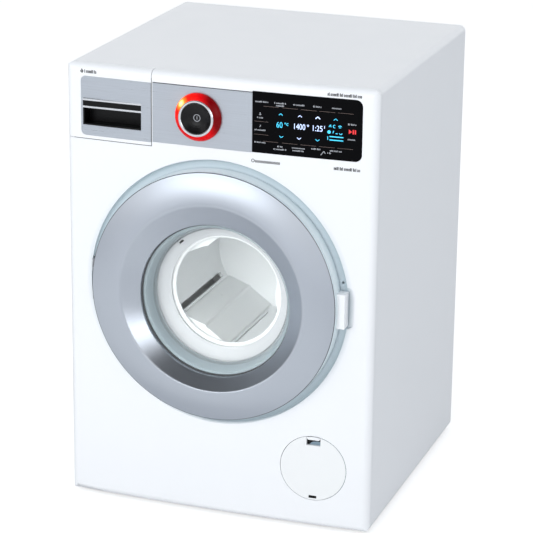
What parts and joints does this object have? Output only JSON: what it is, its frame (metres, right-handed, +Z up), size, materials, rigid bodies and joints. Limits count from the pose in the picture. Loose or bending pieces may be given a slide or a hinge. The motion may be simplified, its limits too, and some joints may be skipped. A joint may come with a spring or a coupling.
{
  "type": "toy washing machine",
  "caption": "Front-loading toy washing machine with an opening round door, a turning drum, a pull-out drawer and a turning selector with a push button.",
  "frame": {"origin": "centre of the bounding box on the floor, under the feet", "axes": "+Z up, -Y towards the viewer in front of the door, +X to the right seen from the front; metres"},
  "size_m": [0.184, 0.1914, 0.262],
  "materials": {
    "white_body": "smooth satin white moulding",
    "white_back": "matt white moulding",
    "white_inner": "matt white moulding",
    "collar_white": "pale grey-white satin moulding",
    "silver_ring": "silver-painted moulding, satin",
    "silver_strip": "silver foil with a fine level grain",
    "silver_trim": "bright plated",
    "clear_window": "clear moulding, faint blue-green",
    "dark_display": "dark smoked window with printed symbols",
    "red_collar": "glossy red",
    "black_button": "glossy black",
    "black_pocket": "satin black",
    "grey_rubber": "soft grey",
    "drum_metal": "pale grey satin",
    "paddle_plastic": "pale grey moulding",
    "steel": "plain steel",
    "bearing_bronze": "dull bronze",
    "gear_plastic": "natural white gear plastic",
    "board_green": "green board",
    "switch_grey": "dark grey moulding",
    "lamp_red": "red lamp moulding",
    "cell_wrap": "plain cell wrap",
    "wire_red": "red, black and yellow leads"
  },
  "bodies": {
    "cabinet": {"cabinet_shell": "white_body", "front_panel": "white_body", "back_cover": "white_back", "base_tray": "white_body", "feet": "grey_rubber", "fascia_plate": "silver_strip", "display_lens": "dark_display", "control_board": "board_green", "rotary_switch": "switch_grey", "ring_leds": "lamp_red", "speaker": "switch_grey", "battery_box": "white_inner", "battery_cover": "white_back", "battery_cells": "cell_wrap", "battery_contacts": "steel", "drawer_housing": "white_inner", "tub_collar": "collar_white", "tub": "white_inner", "drum_bearing": "bearing_bronze", "gear_bracket": "steel", "drive_motor": "steel", "idler_axle": "steel", "filter_housing": "white_inner", "drain_hose": "grey_rubber", "hinge_bracket": "steel", "hinge_pin": "steel", "latch_catch": "white_inner", "wire_harness": "wire_red", "back_screws": "steel", "tub_screws": "steel", "bracket_screws": "steel", "board_screws": "steel", "battery_screw": "steel", "hinge_screws": "steel"},
    "door": {"door_trim": "silver_ring", "door_frame": "white_body", "door_window": "clear_window", "window_seal": "grey_rubber", "door_hook": "white_inner", "door_screws": "steel"},
    "drum": {"drum_shell": "drum_metal", "drum_ring": "drum_metal", "drum_paddles": "paddle_plastic", "drum_shaft": "steel", "drum_gear": "gear_plastic", "shaft_clip": "steel"},
    "idler": {"idler_gear": "gear_plastic"},
    "motor_rotor": {"motor_pinion": "bearing_bronze"},
    "drawer": {"drawer_front": "white_body", "drawer_label": "silver_strip", "handle_pocket": "black_pocket", "handle_trim": "silver_trim", "drawer_tray": "white_inner"},
    "knob": {"knob_collar": "red_collar", "knob_ring": "silver_trim", "knob_spindle": "gear_plastic"},
    "button": {"button_cap": "black_button", "button_spring": "steel"},
    "flap": {"flap": "white_inner"},
    "filter_cap": {"filter_cap": "gear_plastic"}
  },
  "joints": [
    {"name": "door_hinge", "type": "hinge", "parent": "cabinet", "child": "door", "pos_m": [-0.0746, -0.084, 0.1365], "axis": [0, 0, -1], "range_deg": [0, 100]},
    {"name": "drawer_slide", "type": "slide", "parent": "cabinet", "child": "drawer", "axis": [0, -1, 0], "range_m": [0, 0.045]},
    {"name": "knob_turn", "type": "hinge", "parent": "cabinet", "child": "knob", "pos_m": [-0.0112, -0.08425, 0.2385], "axis": [0, -1, 0], "continuous": true},
    {"name": "button_press", "type": "slide", "parent": "cabinet", "child": "button", "axis": [0, 1, 0], "range_m": [0, 0.001], "stiffness_N_per_m": 150, "springref_m": -0.001, "deforming": ["button_spring"]},
    {"name": "drum_spin", "type": "hinge", "parent": "cabinet", "child": "drum", "pos_m": [0, -0.02425, 0.133], "axis": [0, -1, 0], "continuous": true},
    {"name": "idler_spin", "type": "hinge", "parent": "cabinet", "child": "idler", "pos_m": [-0.02121, 0.03375, 0.11179], "axis": [0, -1, 0], "continuous": true},
    {"name": "motor_spin", "type": "hinge", "parent": "cabinet", "child": "motor_rotor", "pos_m": [-0.02942, 0.03675, 0.08923], "axis": [0, -1, 0], "continuous": true},
    {"name": "flap_pull", "type": "slide", "parent": "cabinet", "child": "flap", "axis": [0, -1, 0], "range_m": [0, 0.03]},
    {"name": "filter_cap_turn", "type": "hinge", "parent": "cabinet", "child": "filter_cap", "pos_m": [0.0587, -0.07025, 0.0382], "axis": [0, -1, 0], "range_deg": [0, 90]}
  ],
  "couplings": [
    {"joint": "idler_spin", "follows": "drum_spin", "ratio": -4},
    {"joint": "motor_spin", "follows": "drum_spin", "ratio": 12}
  ]
}
